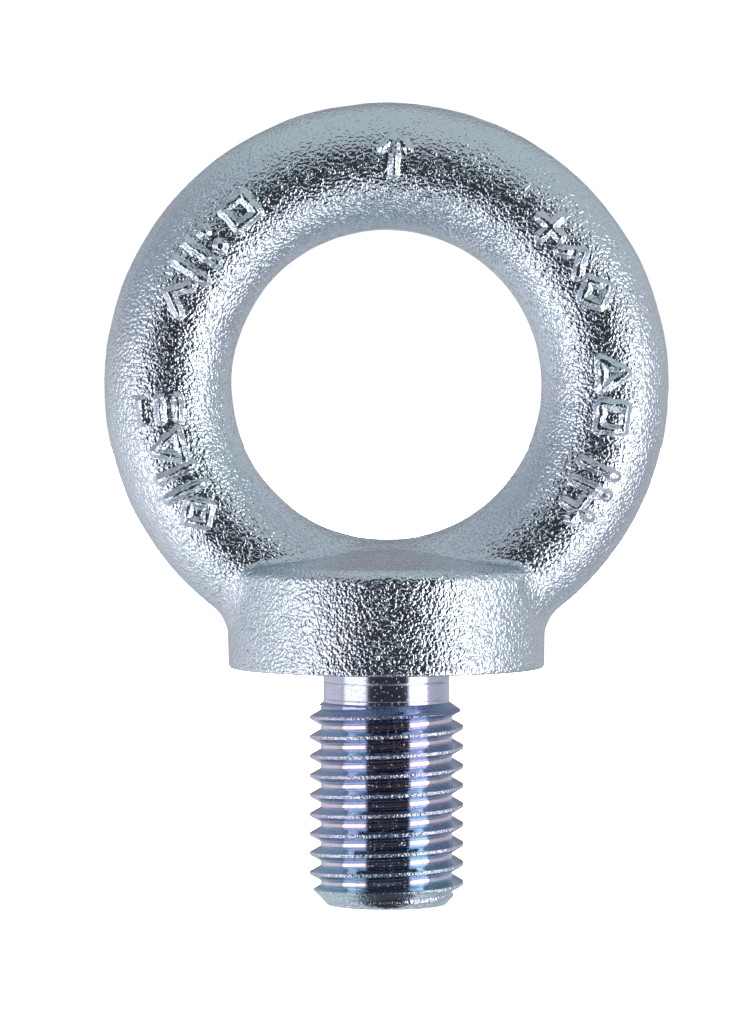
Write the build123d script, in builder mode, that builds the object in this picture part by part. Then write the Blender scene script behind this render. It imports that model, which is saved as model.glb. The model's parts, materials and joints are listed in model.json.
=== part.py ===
from build123d import *
import math
import os

# Lifting eye bolt, M20: a forged ring on a round collar, over a turned neck and a threaded shank.
# The origin is the centre of the collar's seat face, +Z runs up through the ring, and the ring lies in the
# XZ plane. Lengths are in millimetres. The real bolt is one steel forging: its regions are separate solids
# here, each with its own name and finish, and they meet face to face.

# ---- driving dimensions ----
ring_outer_diameter = 72.1
ring_bar_depth = 16.1  # radial thickness of the ring's bar
crown_thickness = 16.0  # thickness of the bar along Y, at the top of the ring
root_thickness = 19.0  # the same at the foot of the ring
ring_centre_height = 36.2  # above the seat face
leg_cut_angle = 38.0  # the ring leaves the collar this far below the level of its centre, in degrees

collar_diameter = 40.5
collar_edge_height = 13.05  # where the cone of the collar's top would meet its side
shoulder_slope = 0.16  # the collar's top rises this much for each millimetre towards the axis
shoulder_inner_radius = 3.0  # the cone ends here, inside the ring's bar
root_fillet = 1.4
collar_rim_fillet = 1.4
seat_rim_fillet = 0.3

pitch = 2.5
thread_major_diameter = 19.8
thread_root_diameter = 16.84
thread_flank_angle = 30.0  # of one flank, from the plane square to the axis
root_flat = 0.34
cutter_margin = 0.4  # the groove's cutter reaches this far outside the crests
crest_height = 0.2  # on the +X side, crests stand whole pitches below this height
neck_diameter = 16.2
neck_length = 4.4
neck_seat_fillet = 0.5
neck_plug_height = 1.5  # the neck's solid reaches this far up into the collar
runout_length = 1.25  # height of the cone from the neck to the thread's major diameter
shank_length = 30.4
point_chamfer = 2.25

mark_relief = 0.45  # how far the raised marks stand off the ring
mark_stroke = 1.0
mark_height = 5.6  # along the ring's radius
mark_width = 3.6  # along the ring
mark_circle_radius = 28.8
arrow_tip_height = 3.2  # above the middle of the arrow's cell
arrow_barb_length = 3.2

# ---- worked out from them ----
ring_mid_radius = (ring_outer_diameter - ring_bar_depth) / 2
collar_radius = collar_diameter / 2
shoulder_height = collar_edge_height + shoulder_slope * (collar_radius - shoulder_inner_radius)
neck_radius = neck_diameter / 2
plug_radius = neck_radius + neck_seat_fillet
major_radius = thread_major_diameter / 2
thread_root_radius = thread_root_diameter / 2
wedge_reach = ring_outer_diameter
wedge_drop = wedge_reach * math.tan(math.radians(leg_cut_angle))

os.makedirs("parts", exist_ok=True)


# ---- the closed ring, before it is joined to the collar ----


def closed_ring(proud):
    """A ring whose oval bar is thicker at the foot than at the crown. proud adds that much all round."""
    crown = Plane(
        origin=(0, 0, ring_centre_height + ring_mid_radius), x_dir=(0, 0, 1), z_dir=(-1, 0, 0)
    )
    foot = Plane(
        origin=(0, 0, ring_centre_height - ring_mid_radius), x_dir=(0, 0, -1), z_dir=(1, 0, 0)
    )
    with BuildLine(Plane.XZ) as half_circle:
        CenterArc((0, ring_centre_height), ring_mid_radius, 90, 180)
    with BuildPart() as ring:
        with BuildSketch(crown):
            Ellipse(ring_bar_depth / 2 + proud, crown_thickness / 2 + proud)
        with BuildSketch(foot):
            Ellipse(ring_bar_depth / 2 + proud, root_thickness / 2 + proud)
        sweep(path=half_circle.wire(), multisection=True)
        mirror(about=Plane.YZ)
    return ring.part


plain_ring = closed_ring(proud=0)
proud_ring = closed_ring(proud=mark_relief)


# ---- the forged head: ring and collar blended together ----


def is_rim(edge):
    """Picks the long rims of the collar's blank, round its top and round its seat."""
    return edge.length > 2 * collar_diameter


def is_root_crease(edge):
    """Picks the long hollow edges where the ring grows out of the collar."""
    middle = edge.center()
    outside = 18.6 < abs(middle.X) < 20.0 and 4.8 < abs(middle.Y) < 7.6
    under_the_eye = 7.0 < abs(middle.X) < 9.4 and 5.1 < abs(middle.Y) < 7.9
    return edge.length > 5 and (outside or under_the_eye) and middle.Z < shoulder_height + 1


with BuildPart() as head:
    with BuildSketch(Plane.XZ):
        Polygon(
            (0, 0),
            (collar_radius, 0),
            (collar_radius, collar_edge_height),
            (shoulder_inner_radius, shoulder_height),
            (0, shoulder_height),
            align=None,
        )
    revolve(axis=Axis.Z)
    fillet(head.edges().filter_by(is_rim).sort_by(Axis.Z)[-1:], collar_rim_fillet)
    fillet(head.edges().filter_by(is_rim).sort_by(Axis.Z)[:1], seat_rim_fillet)
    add(plain_ring)
    fillet(head.edges().filter_by(is_root_crease), root_fillet)

# A wedge with its edge on the eye's centre line. Its two sloping faces cut the legs square to their bar.
with BuildPart() as wedge:
    with BuildSketch(Plane.XZ):
        with BuildLine():
            Polyline(
                (0, ring_centre_height),
                (wedge_reach, ring_centre_height - wedge_drop),
                (-wedge_reach, ring_centre_height - wedge_drop),
                close=True,
            )
        make_face()
    extrude(amount=collar_diameter, both=True)


# ---- the ring above its two roots ----
with BuildPart() as eye_ring:
    add(head.part)
    add(wedge.part, mode=Mode.SUBTRACT)
eye_ring.part.label = "eye_ring"
export_step(eye_ring.part, "parts/eye_ring.step")


# ---- the collar, with the saddle under the eye and the roots of the two legs ----
with BuildPart() as collar:
    add(head.part)
    add(wedge.part, mode=Mode.INTERSECT)
    with BuildSketch(Plane.XY):
        Circle(plug_radius)
    extrude(amount=neck_plug_height, mode=Mode.SUBTRACT)
collar.part.label = "collar"
export_step(collar.part, "parts/collar.step")


# ---- the turned relief between the seat face and the thread, with its core up inside the collar ----
with BuildPart() as thread_neck:
    with BuildSketch(Plane.XZ):
        with BuildLine():
            Line((0, neck_plug_height), (plug_radius, neck_plug_height))
            Line((plug_radius, neck_plug_height), (plug_radius, 0))
            CenterArc((plug_radius, -neck_seat_fillet), neck_seat_fillet, 90, 90)
            Line((neck_radius, -neck_seat_fillet), (neck_radius, -neck_length))
            Line((neck_radius, -neck_length), (0, -neck_length))
            Line((0, -neck_length), (0, neck_plug_height))
        make_face()
    revolve(axis=Axis.Z)
thread_neck.part.label = "thread_neck"
export_step(thread_neck.part, "parts/thread_neck.step")


# ---- the threaded shank ----


def one_turn_of_groove(turn_bottom):
    """The cutter for one turn of the thread's groove, right-handed, starting on the +X side."""
    cut_radius = major_radius + cutter_margin
    half_root = root_flat / 2
    flank_reach = (cut_radius - thread_root_radius) * math.tan(math.radians(thread_flank_angle))
    half_mouth = half_root + flank_reach
    start = Plane(origin=(0, 0, turn_bottom), x_dir=(1, 0, 0), z_dir=(0, -1, 0))
    with BuildPart() as groove:
        with BuildLine() as helix:
            Helix(pitch, pitch, thread_root_radius, center=(0, 0, turn_bottom))
        with BuildSketch(start):
            with BuildLine():
                Polyline(
                    (thread_root_radius, -half_root),
                    (cut_radius, -half_mouth),
                    (cut_radius, half_mouth),
                    (thread_root_radius, half_root),
                    close=True,
                )
            make_face()
        sweep(path=helix.wire(), is_frenet=True)
    return groove.part


# The groove is cut turn by turn, from below the shank's end to above its run-out.
groove_height = crest_height - pitch / 2
turns_below_seat = math.ceil(shank_length / pitch) + 2
turn_bottoms = [groove_height - pitch * turn for turn in range(1, turns_below_seat + 1)]
turn_cutters = [one_turn_of_groove(bottom) for bottom in turn_bottoms]

with BuildPart() as threaded_shank:
    with BuildSketch(Plane.XZ):
        with BuildLine():
            Polyline(
                (0, -neck_length),
                (neck_radius, -neck_length),
                (major_radius, -neck_length - runout_length),
                (major_radius, -shank_length + point_chamfer),
                (major_radius - point_chamfer, -shank_length),
                (0, -shank_length),
                close=True,
            )
        make_face()
    revolve(axis=Axis.Z)
    for cutter in turn_cutters:
        add(cutter, mode=Mode.SUBTRACT)
threaded_shank.part.label = "threaded_shank"
export_step(threaded_shank.part, "parts/threaded_shank.step")


# ---- raised marks: plain signs, each drawn in a cell with +Y towards the ring's outer edge ----


def diamond_sign():
    """A diamond outline."""
    side = mark_width * 0.95
    Rectangle(side, side, rotation=45)
    Rectangle(side - 2 * mark_stroke, side - 2 * mark_stroke, rotation=45, mode=Mode.SUBTRACT)


def twin_bar_sign():
    """Two bars side by side along the radius."""
    with GridLocations(mark_width - mark_stroke, 0, 2, 1):
        SlotOverall(mark_height, mark_stroke, rotation=90)


def ladder_sign():
    """Three short rungs, one above another."""
    with GridLocations(0, (mark_height - mark_stroke) / 2, 1, 3):
        SlotOverall(mark_width, mark_stroke)


def chevron_sign():
    """A wide chevron that points outwards: two sloping bars that meet at the top."""
    for side in (-1, 1):
        with Locations((side * mark_width * 0.29, 0)):
            SlotOverall(mark_height * 0.62, mark_stroke, rotation=-side * 52)


def triangle_sign():
    """A triangle outline that points outwards."""
    with Locations((0, -mark_height / 10)):
        RegularPolygon(mark_height * 0.56, 3, rotation=90)
        RegularPolygon(mark_height * 0.56 - 2 * mark_stroke, 3, rotation=90, mode=Mode.SUBTRACT)


def cross_sign():
    """An upright cross with equal arms."""
    SlotOverall(mark_height * 0.8, mark_stroke)
    SlotOverall(mark_height * 0.8, mark_stroke, rotation=90)


def dot_pair_sign():
    """Two round studs along the radius."""
    with GridLocations(0, mark_height / 2, 1, 2):
        Circle(mark_stroke * 0.75)


def square_sign():
    """A square outline."""
    side = mark_height * 0.72
    Rectangle(side, side)
    Rectangle(side - 2 * mark_stroke, side - 2 * mark_stroke, mode=Mode.SUBTRACT)


def arrow_sign():
    """The arrow on the crown that shows the line of pull: two barbs over a stem."""
    barb_reach = arrow_barb_length / 2 * math.cos(math.radians(45)) - mark_stroke / 4
    with Locations((0, arrow_tip_height - mark_height / 2)):
        SlotOverall(mark_height, mark_stroke, rotation=90)
    for side in (-1, 1):
        with Locations((side * barb_reach, arrow_tip_height - mark_stroke / 4 - barb_reach)):
            SlotOverall(arrow_barb_length, mark_stroke, rotation=-side * 45)


def cell_on_ring(degrees):
    """The plane of a mark's cell, in the ring's middle plane, with its normal towards the front."""
    angle = math.radians(degrees)
    return Plane(
        origin=(
            mark_circle_radius * math.cos(angle),
            0,
            ring_centre_height + mark_circle_radius * math.sin(angle),
        ),
        x_dir=(math.sin(angle), 0, -math.cos(angle)),
        z_dir=(0, -1, 0),
    )


# Each group lists its signs with the angle round the ring where each stands, in degrees from +X towards +Z.
mark_groups = {
    "load_arrow": ((arrow_sign, 88),),
    "marks_upper_left": ((square_sign, 130), (dot_pair_sign, 140), (twin_bar_sign, 147), (chevron_sign, 157)),
    "marks_lower_left": ((ladder_sign, 186), (triangle_sign, 196), (twin_bar_sign, 205), (diamond_sign, 214)),
    "marks_upper_right": ((cross_sign, 44), (chevron_sign, 34), (diamond_sign, 24)),
    "marks_right": ((triangle_sign, 3), (square_sign, -8)),
    "marks_lower_right": ((twin_bar_sign, -24), (cross_sign, -33)),
}

# The signs' outlines are carried forwards through the thin layer between the ring and the proud ring.
for group, signs in mark_groups.items():
    with BuildPart() as marks:
        for sign, degrees in signs:
            with BuildSketch(cell_on_ring(degrees)):
                sign()
            extrude(amount=root_thickness)
        add(proud_ring, mode=Mode.INTERSECT)
        add(plain_ring, mode=Mode.SUBTRACT)
    marks.part.label = group
    export_step(marks.part, f"parts/{group}.step")
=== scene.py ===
# %% [markdown]
# # A forged lifting eye bolt
# The real bolt is one steel drop forging: a thick ring that grows out of a round collar. Under the collar
# a neck and a thread are turned on a lathe. All of it is then plated with zinc and passivated, which leaves
# a pale blue shine with a faint rainbow in the grooves.
# Every piece here is a surface worked out with numpy, so the shape of each one is a formula that can be
# read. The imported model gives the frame: the sizes come from it and every piece rides on its one body.

# %% Load the frame
import json
import math

import bmesh
import bpy
import numpy as np
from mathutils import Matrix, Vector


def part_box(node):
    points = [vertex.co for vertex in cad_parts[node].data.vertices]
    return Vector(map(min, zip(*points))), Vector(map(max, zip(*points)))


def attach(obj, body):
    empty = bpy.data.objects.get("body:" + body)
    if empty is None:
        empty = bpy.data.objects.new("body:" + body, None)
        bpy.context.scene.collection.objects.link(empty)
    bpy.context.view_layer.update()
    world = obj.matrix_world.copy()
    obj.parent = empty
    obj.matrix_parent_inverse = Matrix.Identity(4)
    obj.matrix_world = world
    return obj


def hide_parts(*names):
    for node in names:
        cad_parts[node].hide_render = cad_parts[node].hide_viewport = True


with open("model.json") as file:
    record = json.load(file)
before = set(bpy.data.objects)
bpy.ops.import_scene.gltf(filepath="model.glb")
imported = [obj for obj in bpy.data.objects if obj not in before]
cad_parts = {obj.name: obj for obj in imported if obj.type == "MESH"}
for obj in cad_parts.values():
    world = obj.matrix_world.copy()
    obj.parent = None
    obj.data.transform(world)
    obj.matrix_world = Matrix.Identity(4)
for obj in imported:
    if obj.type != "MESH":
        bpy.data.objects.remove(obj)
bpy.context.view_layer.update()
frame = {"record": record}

MM = 0.001
mounts = {mount["name"]: mount for mount in frame["record"]["mounts"]}
ring_low, ring_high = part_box("eye_ring")
collar_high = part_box("collar")[1]
neck_low, neck_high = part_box("thread_neck")
shank_low, shank_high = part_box("threaded_shank")

eye_height = mounts["eye"]["pos_m"][2]
ring_outer_radius = ring_high.z - eye_height
collar_radius = collar_high.y
neck_top = neck_high.z
neck_bottom = neck_low.z
shank_end = shank_low.z
crest_radius = shank_high.x
print(f"ring {2 * ring_outer_radius / MM:.1f} mm over, eye centre {eye_height / MM:.1f} mm over the seat")
print(f"collar {2 * collar_radius / MM:.1f} mm over, thread {2 * crest_radius / MM:.1f} mm over")
print(f"the shank ends {-shank_end / MM:.1f} mm below the seat")

# %% [markdown]
# ## Camera
# The bolt is seen almost square from the front, from a little over the seat of the collar, through a long
# lens, so the ring looks round and the near and far sides are almost the same size. The camera stands in
# front on the -Y side and is tipped down by a small angle.

# %% Camera
camera_distance = 0.656
camera_height = 0.041
camera_side = -0.00173
camera_dip = math.radians(1.84)
long_lens_mm = 179.9
sensor_width_mm = 36.0

camera_data = bpy.data.cameras.new("camera")
camera_data.lens = long_lens_mm
camera_data.sensor_width = sensor_width_mm
camera_data.clip_start = 0.05
camera_data.clip_end = 20.0
camera = bpy.data.objects.new("camera", camera_data)
camera.location = (camera_side, -camera_distance, camera_height)
camera.rotation_euler = (math.pi / 2 - camera_dip, 0.0, 0.0)
bpy.context.scene.collection.objects.link(camera)
bpy.context.scene.camera = camera
bpy.context.scene.view_settings.view_transform = "Standard"
print("camera", tuple(round(value, 4) for value in camera.location))

# %% [markdown]
# ## From arrays to a mesh
# Each surface starts as a grid of points, rows by columns. Neighbouring points make four-sided faces, and
# where a surface runs round a bar or a shank the last column is joined back to the first, so there is no
# open seam. A flat fan closes each end. The direction that each point faces is worked out from the formula
# of the surface and given to the mesh, so two pieces that meet on one smooth skin show no line between them.

# %% Helpers that turn arrays into meshes


def mesh_object(name, points, quads, triangles, normals=None):
    """A mesh object from flat arrays. Its signed volume, the sum of p0 . (p1 x p2) / 6 over its triangles,
    tells which way the faces point, and they are turned over if it comes out negative."""
    halves = np.concatenate([quads[:, [0, 1, 2]], quads[:, [0, 2, 3]], triangles])
    first, second, third = points[halves[:, 0]], points[halves[:, 1]], points[halves[:, 2]]
    volume = np.einsum("ij,ij->i", first, np.cross(second, third)).sum() / 6
    if volume < 0:
        quads, triangles = quads[:, ::-1], triangles[:, ::-1]
    corners = np.concatenate([quads.ravel(), triangles.ravel()]).astype(np.int32)
    sizes = np.concatenate([np.full(len(quads), 4), np.full(len(triangles), 3)]).astype(np.int32)
    mesh = bpy.data.meshes.new(name)
    mesh.vertices.add(len(points))
    mesh.vertices.foreach_set("co", points.astype(np.float32).ravel())
    mesh.loops.add(len(corners))
    mesh.loops.foreach_set("vertex_index", corners)
    mesh.polygons.add(len(sizes))
    mesh.polygons.foreach_set("loop_start", np.cumsum(sizes, dtype=np.int32) - sizes)
    mesh.update(calc_edges=True)
    mesh.shade_smooth()
    if normals is not None:
        mesh.normals_split_custom_set_from_vertices(normals)
    piece = bpy.data.objects.new(name, mesh)
    bpy.context.scene.collection.objects.link(piece)
    print(f"{name}: {len(halves)} triangles, {abs(volume) / MM**3:.0f} mm3")
    return piece


def grid_quads(index):
    """Four-sided faces between neighbours in a grid of point numbers, whose last column meets the first."""
    closed = np.concatenate([index, index[:, :1]], axis=1)
    corners = [closed[:-1, :-1], closed[1:, :-1], closed[1:, 1:], closed[:-1, 1:]]
    return np.stack(corners, axis=-1).reshape(-1, 4)


def capped_tube(name, points, normals):
    """A tube from points[row, column], closed round its columns, with a flat fan over its first and last
    rows. The fans have their own copies of the rim's points, so that the rim is a crisp edge."""
    rows, columns, _ = points.shape
    count = rows * columns
    rims = [points[0], points[-1]]
    middles = np.array([rim.mean(axis=0) for rim in rims])
    outward = middles - np.array([points[1].mean(axis=0), points[-2].mean(axis=0)])
    outward /= np.linalg.norm(outward, axis=1, keepdims=True)
    first_rim = count + np.arange(columns)
    last_rim = first_rim + columns
    centres = count + 2 * columns + np.arange(2)
    all_points = np.concatenate([points.reshape(-1, 3), rims[0], rims[1], middles])
    cap_normals = np.repeat(outward, [columns, columns], axis=0)
    all_normals = np.concatenate([normals.reshape(-1, 3), cap_normals, outward])
    sides = grid_quads(np.arange(count).reshape(rows, columns))
    first_fan = np.stack([np.full(columns, centres[0]), first_rim, np.roll(first_rim, -1)], axis=1)
    last_fan = np.stack([np.full(columns, centres[1]), np.roll(last_rim, -1), last_rim], axis=1)
    return mesh_object(name, all_points, sides, np.concatenate([first_fan, last_fan]), all_normals)


print("a 3 by 4 grid, closed round its columns, has", len(grid_quads(np.arange(12).reshape(3, 4))), "faces")

# %% [markdown]
# ## The forged head as a distance field
# The ring and the collar are one blended lump, with soft hollows where the legs of the ring grow out of the
# collar. Two separate shapes could only cross in a hard line, so the lump is described by a field: a number
# that is negative inside the steel, zero on its skin and positive outside. Two fields join into one with a
# rounded hollow of a chosen radius, and a field is cut by another with a rounded edge, which is how the die
# leaves them.

# %% Sizes of the head
bar_half_depth = 8.05 * MM
crown_half_thickness = 8.0 * MM
foot_half_thickness = 9.5 * MM
core_radius = ring_outer_radius - bar_half_depth
collar_edge_height = 13.05 * MM
shoulder_slope = 0.16
shoulder_inner_radius = 3.0 * MM
collar_rim_radius = 1.4 * MM
seat_edge_radius = 0.3 * MM
leg_hollow_radius = 1.8 * MM
eye_hollow_radius = 0.9 * MM
leg_hollow_top = 10.0 * MM
leg_hollow_full = 14.0 * MM
shoulder_degrees = math.degrees(math.atan(shoulder_slope))
print(f"core circle {core_radius / MM:.2f} mm, shoulder {shoulder_degrees:.1f} degrees")

# %% Fields of the ring, the collar and the whole head


def smooth_step(value, low, high):
    """0 below low, 1 above high, and 3t^2 - 2t^3 between them."""
    t = np.clip((value - low) / (high - low), 0.0, 1.0)
    return t * t * (3.0 - 2.0 * t)


def joined(first, second, radius):
    """Two fields as one body, with a hollow of that radius where they meet."""
    reach = np.hypot(np.maximum(radius - first, 0.0), np.maximum(radius - second, 0.0))
    return np.maximum(radius, np.minimum(first, second)) - reach


def cut_by(first, second, radius):
    """What two fields have in common, with an outside edge of that radius where they meet."""
    reach = np.hypot(np.maximum(radius + first, 0.0), np.maximum(radius + second, 0.0))
    return np.minimum(-radius, np.maximum(first, second)) + reach


def ring_field(points):
    """The ring: an oval bar carried round a circle. The bar's half thickness grows evenly with the angle
    from the crown to the foot. k(k - 1)/g, with k the oval's own radius at the point and g its slope, is
    close to the true distance near the skin."""
    x, y, z = points[..., 0], points[..., 1], points[..., 2] - eye_height
    off_core = np.hypot(x, z) - core_radius
    from_crown = np.arctan2(np.abs(x), z) / np.pi
    half_thickness = crown_half_thickness + (foot_half_thickness - crown_half_thickness) * from_crown
    k = np.hypot(off_core / bar_half_depth, y / half_thickness)
    slope = np.hypot(off_core / bar_half_depth**2, y / half_thickness**2) + 1e-6
    return k * (k - 1.0) / slope


def collar_field(points):
    """The collar: a round block whose top rises as a shallow cone from the rim towards the axis."""
    off_axis = np.hypot(points[..., 0], points[..., 1])
    side = off_axis - collar_radius
    from_rim = collar_radius - np.maximum(off_axis, shoulder_inner_radius)
    top_height = collar_edge_height + shoulder_slope * from_rim
    top = (points[..., 2] - top_height) / math.hypot(1.0, shoulder_slope)
    return cut_by(side, top, collar_rim_radius)


def head_field(points):
    """Ring and collar joined, and cut off flat at the seat. The hollow is small under the eye and grows
    outside the legs."""
    height = points[..., 2]
    outside_legs = smooth_step(-height, -leg_hollow_full, -leg_hollow_top)
    hollow = eye_hollow_radius + (leg_hollow_radius - eye_hollow_radius) * outside_legs
    body = joined(ring_field(points), collar_field(points), hollow)
    return cut_by(body, -height, seat_edge_radius)


def slope_of(field, points, step):
    """The gradient of a field, from its differences a small step either side along X, Y and Z."""
    shifts = step * np.eye(3)
    parts = [field(points + shift) - field(points - shift) for shift in shifts]
    return np.stack(parts, axis=-1) / (2.0 * step)


seat_middle = np.array([0.0, 0.0, 5.0 * MM])
print(f"5 mm over the seat's middle the field is {head_field(seat_middle) / MM:.2f} mm, inside the steel")

# %% [markdown]
# ## The skin of the forging
# Scale, worn dies and shot blasting leave a forged skin uneven on several scales: wide shallow swells, and
# a pebbled peel of about a millimetre. The coarse part has to change the outline, so it is real relief: sine
# waves of one length, in many directions, added together. The finest pebbles are too small for a mesh and
# come later, in the finish. Where the two halves of the die met, along the middle plane, the trimmed flash
# leaves a low band.

# %% Relief on the forged skin


def wave_sum(wavelength, seed, count=26):
    """A field of waves: the sum of sin(k_i . p + phase_i) over seeded directions k_i, all of one length,
    scaled so that its usual size is 1."""
    generator = np.random.default_rng(seed)
    directions = generator.normal(size=(3, count))
    directions *= 2.0 * np.pi / wavelength / np.linalg.norm(directions, axis=0)
    phases = generator.uniform(0.0, 2.0 * np.pi, count)

    def waves(points):
        return np.sin(points @ directions + phases).sum(axis=-1) * math.sqrt(2.0 / count)

    return waves


swell = wave_sum(9.0 * MM, seed=11)
dents = wave_sum(3.1 * MM, seed=12)
pebbles = wave_sum(1.1 * MM, seed=13)
flash_wobble = wave_sum(5.0 * MM, seed=14)
swell_height = 0.022 * MM
dent_height = 0.010 * MM
pebble_height = 0.006 * MM
flash_height = 0.09 * MM
flash_half_width = 1.1 * MM
flash_edge = 0.5 * MM
flash_wander = 0.25 * MM
faced_height = 0.1 * MM
fully_forged_height = 1.2 * MM


def forged_relief(points):
    """How far the skin stands off the plain shape. It fades to nothing at the seat, which is faced flat."""
    rough = swell_height * swell(points) + dent_height * dents(points) + pebble_height * pebbles(points)
    wobble = flash_wander * flash_wobble(points)
    off_parting = np.abs(points[..., 1] + wobble)
    band = 1.0 - smooth_step(off_parting, flash_half_width, flash_half_width + flash_edge)
    above_seat = smooth_step(points[..., 2], faced_height, fully_forged_height)
    return above_seat * (rough + flash_height * band)


def on_forged_skin(points):
    """Moves points on the plain head out by the relief. Returns them and the way the finished skin faces:
    the plain skin's direction, tipped back against the slope of the relief."""
    facing = slope_of(head_field, points, 0.02 * MM)
    facing /= np.linalg.norm(facing, axis=-1, keepdims=True)
    relief = forged_relief(points)
    tilt = slope_of(forged_relief, points, 0.03 * MM)
    tilt -= facing * (tilt * facing).sum(axis=-1, keepdims=True)
    finished = facing - tilt
    finished /= np.linalg.norm(finished, axis=-1, keepdims=True)
    return points + facing * relief[..., None], finished


print(f"swells {swell_height / MM:.3f} mm, flash {flash_height / MM:.2f} mm high")

# %% [markdown]
# ## Ring and collar
# Think of a circle running through the middle of the ring's bar. Cut the head square to that circle at any
# angle, and the cut is a closed loop round the circle: a plain oval along the ring, and a wide loop that
# takes in the collar at the foot. So a point of the skin needs two parameters, the turn round the eye and
# the roll round the bar, and its distance from the circle is found by halving: the field says which half
# of the interval still holds the skin. The loop's points are then spread evenly along its length.

# %% Loops round the bar
bar_core_reach = 3.0 * MM
ring_farthest = 14.0 * MM
collar_farthest = 27.0 * MM
halvings = 24


def loop_points(turns, rolls, reach):
    """Points at those distances from the core circle: centre + reach * (cos(roll) outward + sin(roll) Y)."""
    outward = np.stack([np.cos(turns), np.zeros_like(turns), np.sin(turns)], axis=-1)
    centre = core_radius * outward + np.array([0.0, 0.0, eye_height])
    across = np.array([0.0, 1.0, 0.0])
    rolled = np.cos(rolls)[..., None] * outward + np.sin(rolls)[..., None] * across
    return centre + reach[..., None] * rolled


def reach_to_skin(turns, rolls, farthest):
    """Distance from the core circle to the skin, by halving an interval again and again."""
    near = np.full(turns.shape, bar_core_reach)
    far = np.full(turns.shape, farthest)
    for _ in range(halvings):
        middle = 0.5 * (near + far)
        inside = head_field(loop_points(turns, rolls, middle)) < 0.0
        near = np.where(inside, middle, near)
        far = np.where(inside, far, middle)
    return 0.5 * (near + far)


def evenly_rolled(turns, columns, farthest):
    """Roll angles that put equal lengths of loop between neighbours, for each turn angle in a list."""
    trial = np.linspace(0.0, 2.0 * np.pi, 4 * columns + 1)
    turn_grid, roll_grid = np.meshgrid(turns, trial, indexing="ij")
    loops = loop_points(turn_grid, roll_grid, reach_to_skin(turn_grid, roll_grid, farthest))
    steps = np.linalg.norm(np.diff(loops, axis=1), axis=-1)
    length = np.concatenate([np.zeros((len(turns), 1)), np.cumsum(steps, axis=1)], axis=1)
    length /= length[:, -1:]
    # One long rising list holds every loop, each two units after the last, so one call reads them all.
    start = 2.0 * np.arange(len(turns))[:, None]
    wanted = start + np.arange(columns) / columns
    return np.interp(wanted.ravel(), (start + length).ravel(), roll_grid.ravel()).reshape(wanted.shape)


def forged_stretch(name, first_turn, last_turn, rows, columns, farthest):
    """The skin of the head between two turn angles, as a closed piece."""
    turns = np.linspace(first_turn, last_turn, rows)
    rolls = evenly_rolled(turns, columns, farthest)
    turn_grid = np.broadcast_to(turns[:, None], rolls.shape)
    plain = loop_points(turn_grid, rolls, reach_to_skin(turn_grid, rolls, farthest))
    points, normals = on_forged_skin(plain)
    return capped_tube(name, points, normals)


crown_reach = reach_to_skin(np.array([math.pi / 2]), np.array([0.0]), ring_farthest)[0]
print(f"at the crown the skin is {crown_reach / MM:.2f} mm outside the core circle")

# %% Make the ring and the collar
# The ring's CAD piece ends at its lowest points, where the two slanting cuts meet its outside.
leg_cut_angle = math.asin((eye_height - ring_low.z) / ring_outer_radius)
print(f"the legs are cut {math.degrees(leg_cut_angle):.1f} degrees below the eye's centre")

right_cut, left_cut = -leg_cut_angle, math.pi + leg_cut_angle
eye_ring = forged_stretch("forged_eye_ring", right_cut, left_cut, 440, 218, ring_farthest)
collar = forged_stretch("forged_collar", left_cut, 2 * math.pi + right_cut, 222, 436, collar_farthest)

# %% [markdown]
# ## Raised marks
# The die is cut with marks, so they stand up from the front of the ring with soft shoulders and rounded
# tops. Each sign is a few straight strokes. The distance to the nearest stroke gives the height of the mark
# at every point of a small grid laid on the ring: full height inside the stroke, falling smoothly to just
# under the skin around it. The grid is kept only where the mark is, and closed underneath, so every sign is
# a small solid of its own. The signs are plain shapes with no meaning, apart from the arrow on the crown,
# which points along the line of pull.

# %% The signs, as strokes
mark_relief = 0.52 * MM
mark_radius = 28.8 * MM
stroke_half_width = 0.56 * MM
dot_half_width = 0.78 * MM
mark_grid = 0.07 * MM
mark_foot = 0.48 * MM
mark_root = 0.3 * MM
mark_sink = 0.06 * MM
sink_start = 0.25 * MM
dome_inside = 0.52 * MM
dome_outside = 0.36 * MM
ragged_edge = 0.05 * MM
worn_top = 0.12
cell_half_width = 3.1 * MM
cell_half_height = 3.9 * MM


def strokes(corners, half_width=stroke_half_width):
    """The straight strokes between listed corners, given in millimetres: across the cell, then outwards."""
    path = np.array(corners, float) * MM
    return [(start, end, half_width) for start, end in zip(path[:-1], path[1:])]


square_sign = strokes([(-1.55, -1.55), (1.55, -1.55), (1.55, 1.55), (-1.55, 1.55), (-1.55, -1.55)])
diamond_sign = strokes([(0, -1.75), (1.75, 0), (0, 1.75), (-1.75, 0), (0, -1.75)])
triangle_sign = strokes([(0, 1.6), (1.85, -1.6), (-1.85, -1.6), (0, 1.6)])
chevron_sign = strokes([(-1.9, -1.1), (0, 1.1), (1.9, -1.1)])
twin_bar_sign = strokes([(-1.3, -2.3), (-1.3, 2.3)]) + strokes([(1.3, -2.3), (1.3, 2.3)])
cross_sign = strokes([(-1.75, 0), (1.75, 0)]) + strokes([(0, -1.75), (0, 1.75)])
ladder_sign = [rung for level in (-2.3, 0, 2.3) for rung in strokes([(-1.3, level), (1.3, level)])]
dot_pair_sign = [dot for level in (-1.4, 1.4) for dot in strokes([(0, level), (0, level)], dot_half_width)]
arrow_sign = strokes([(0, -1.9), (0, 2.7)]) + strokes([(-1.55, 1.2), (0, 2.75), (1.55, 1.2)])

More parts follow.
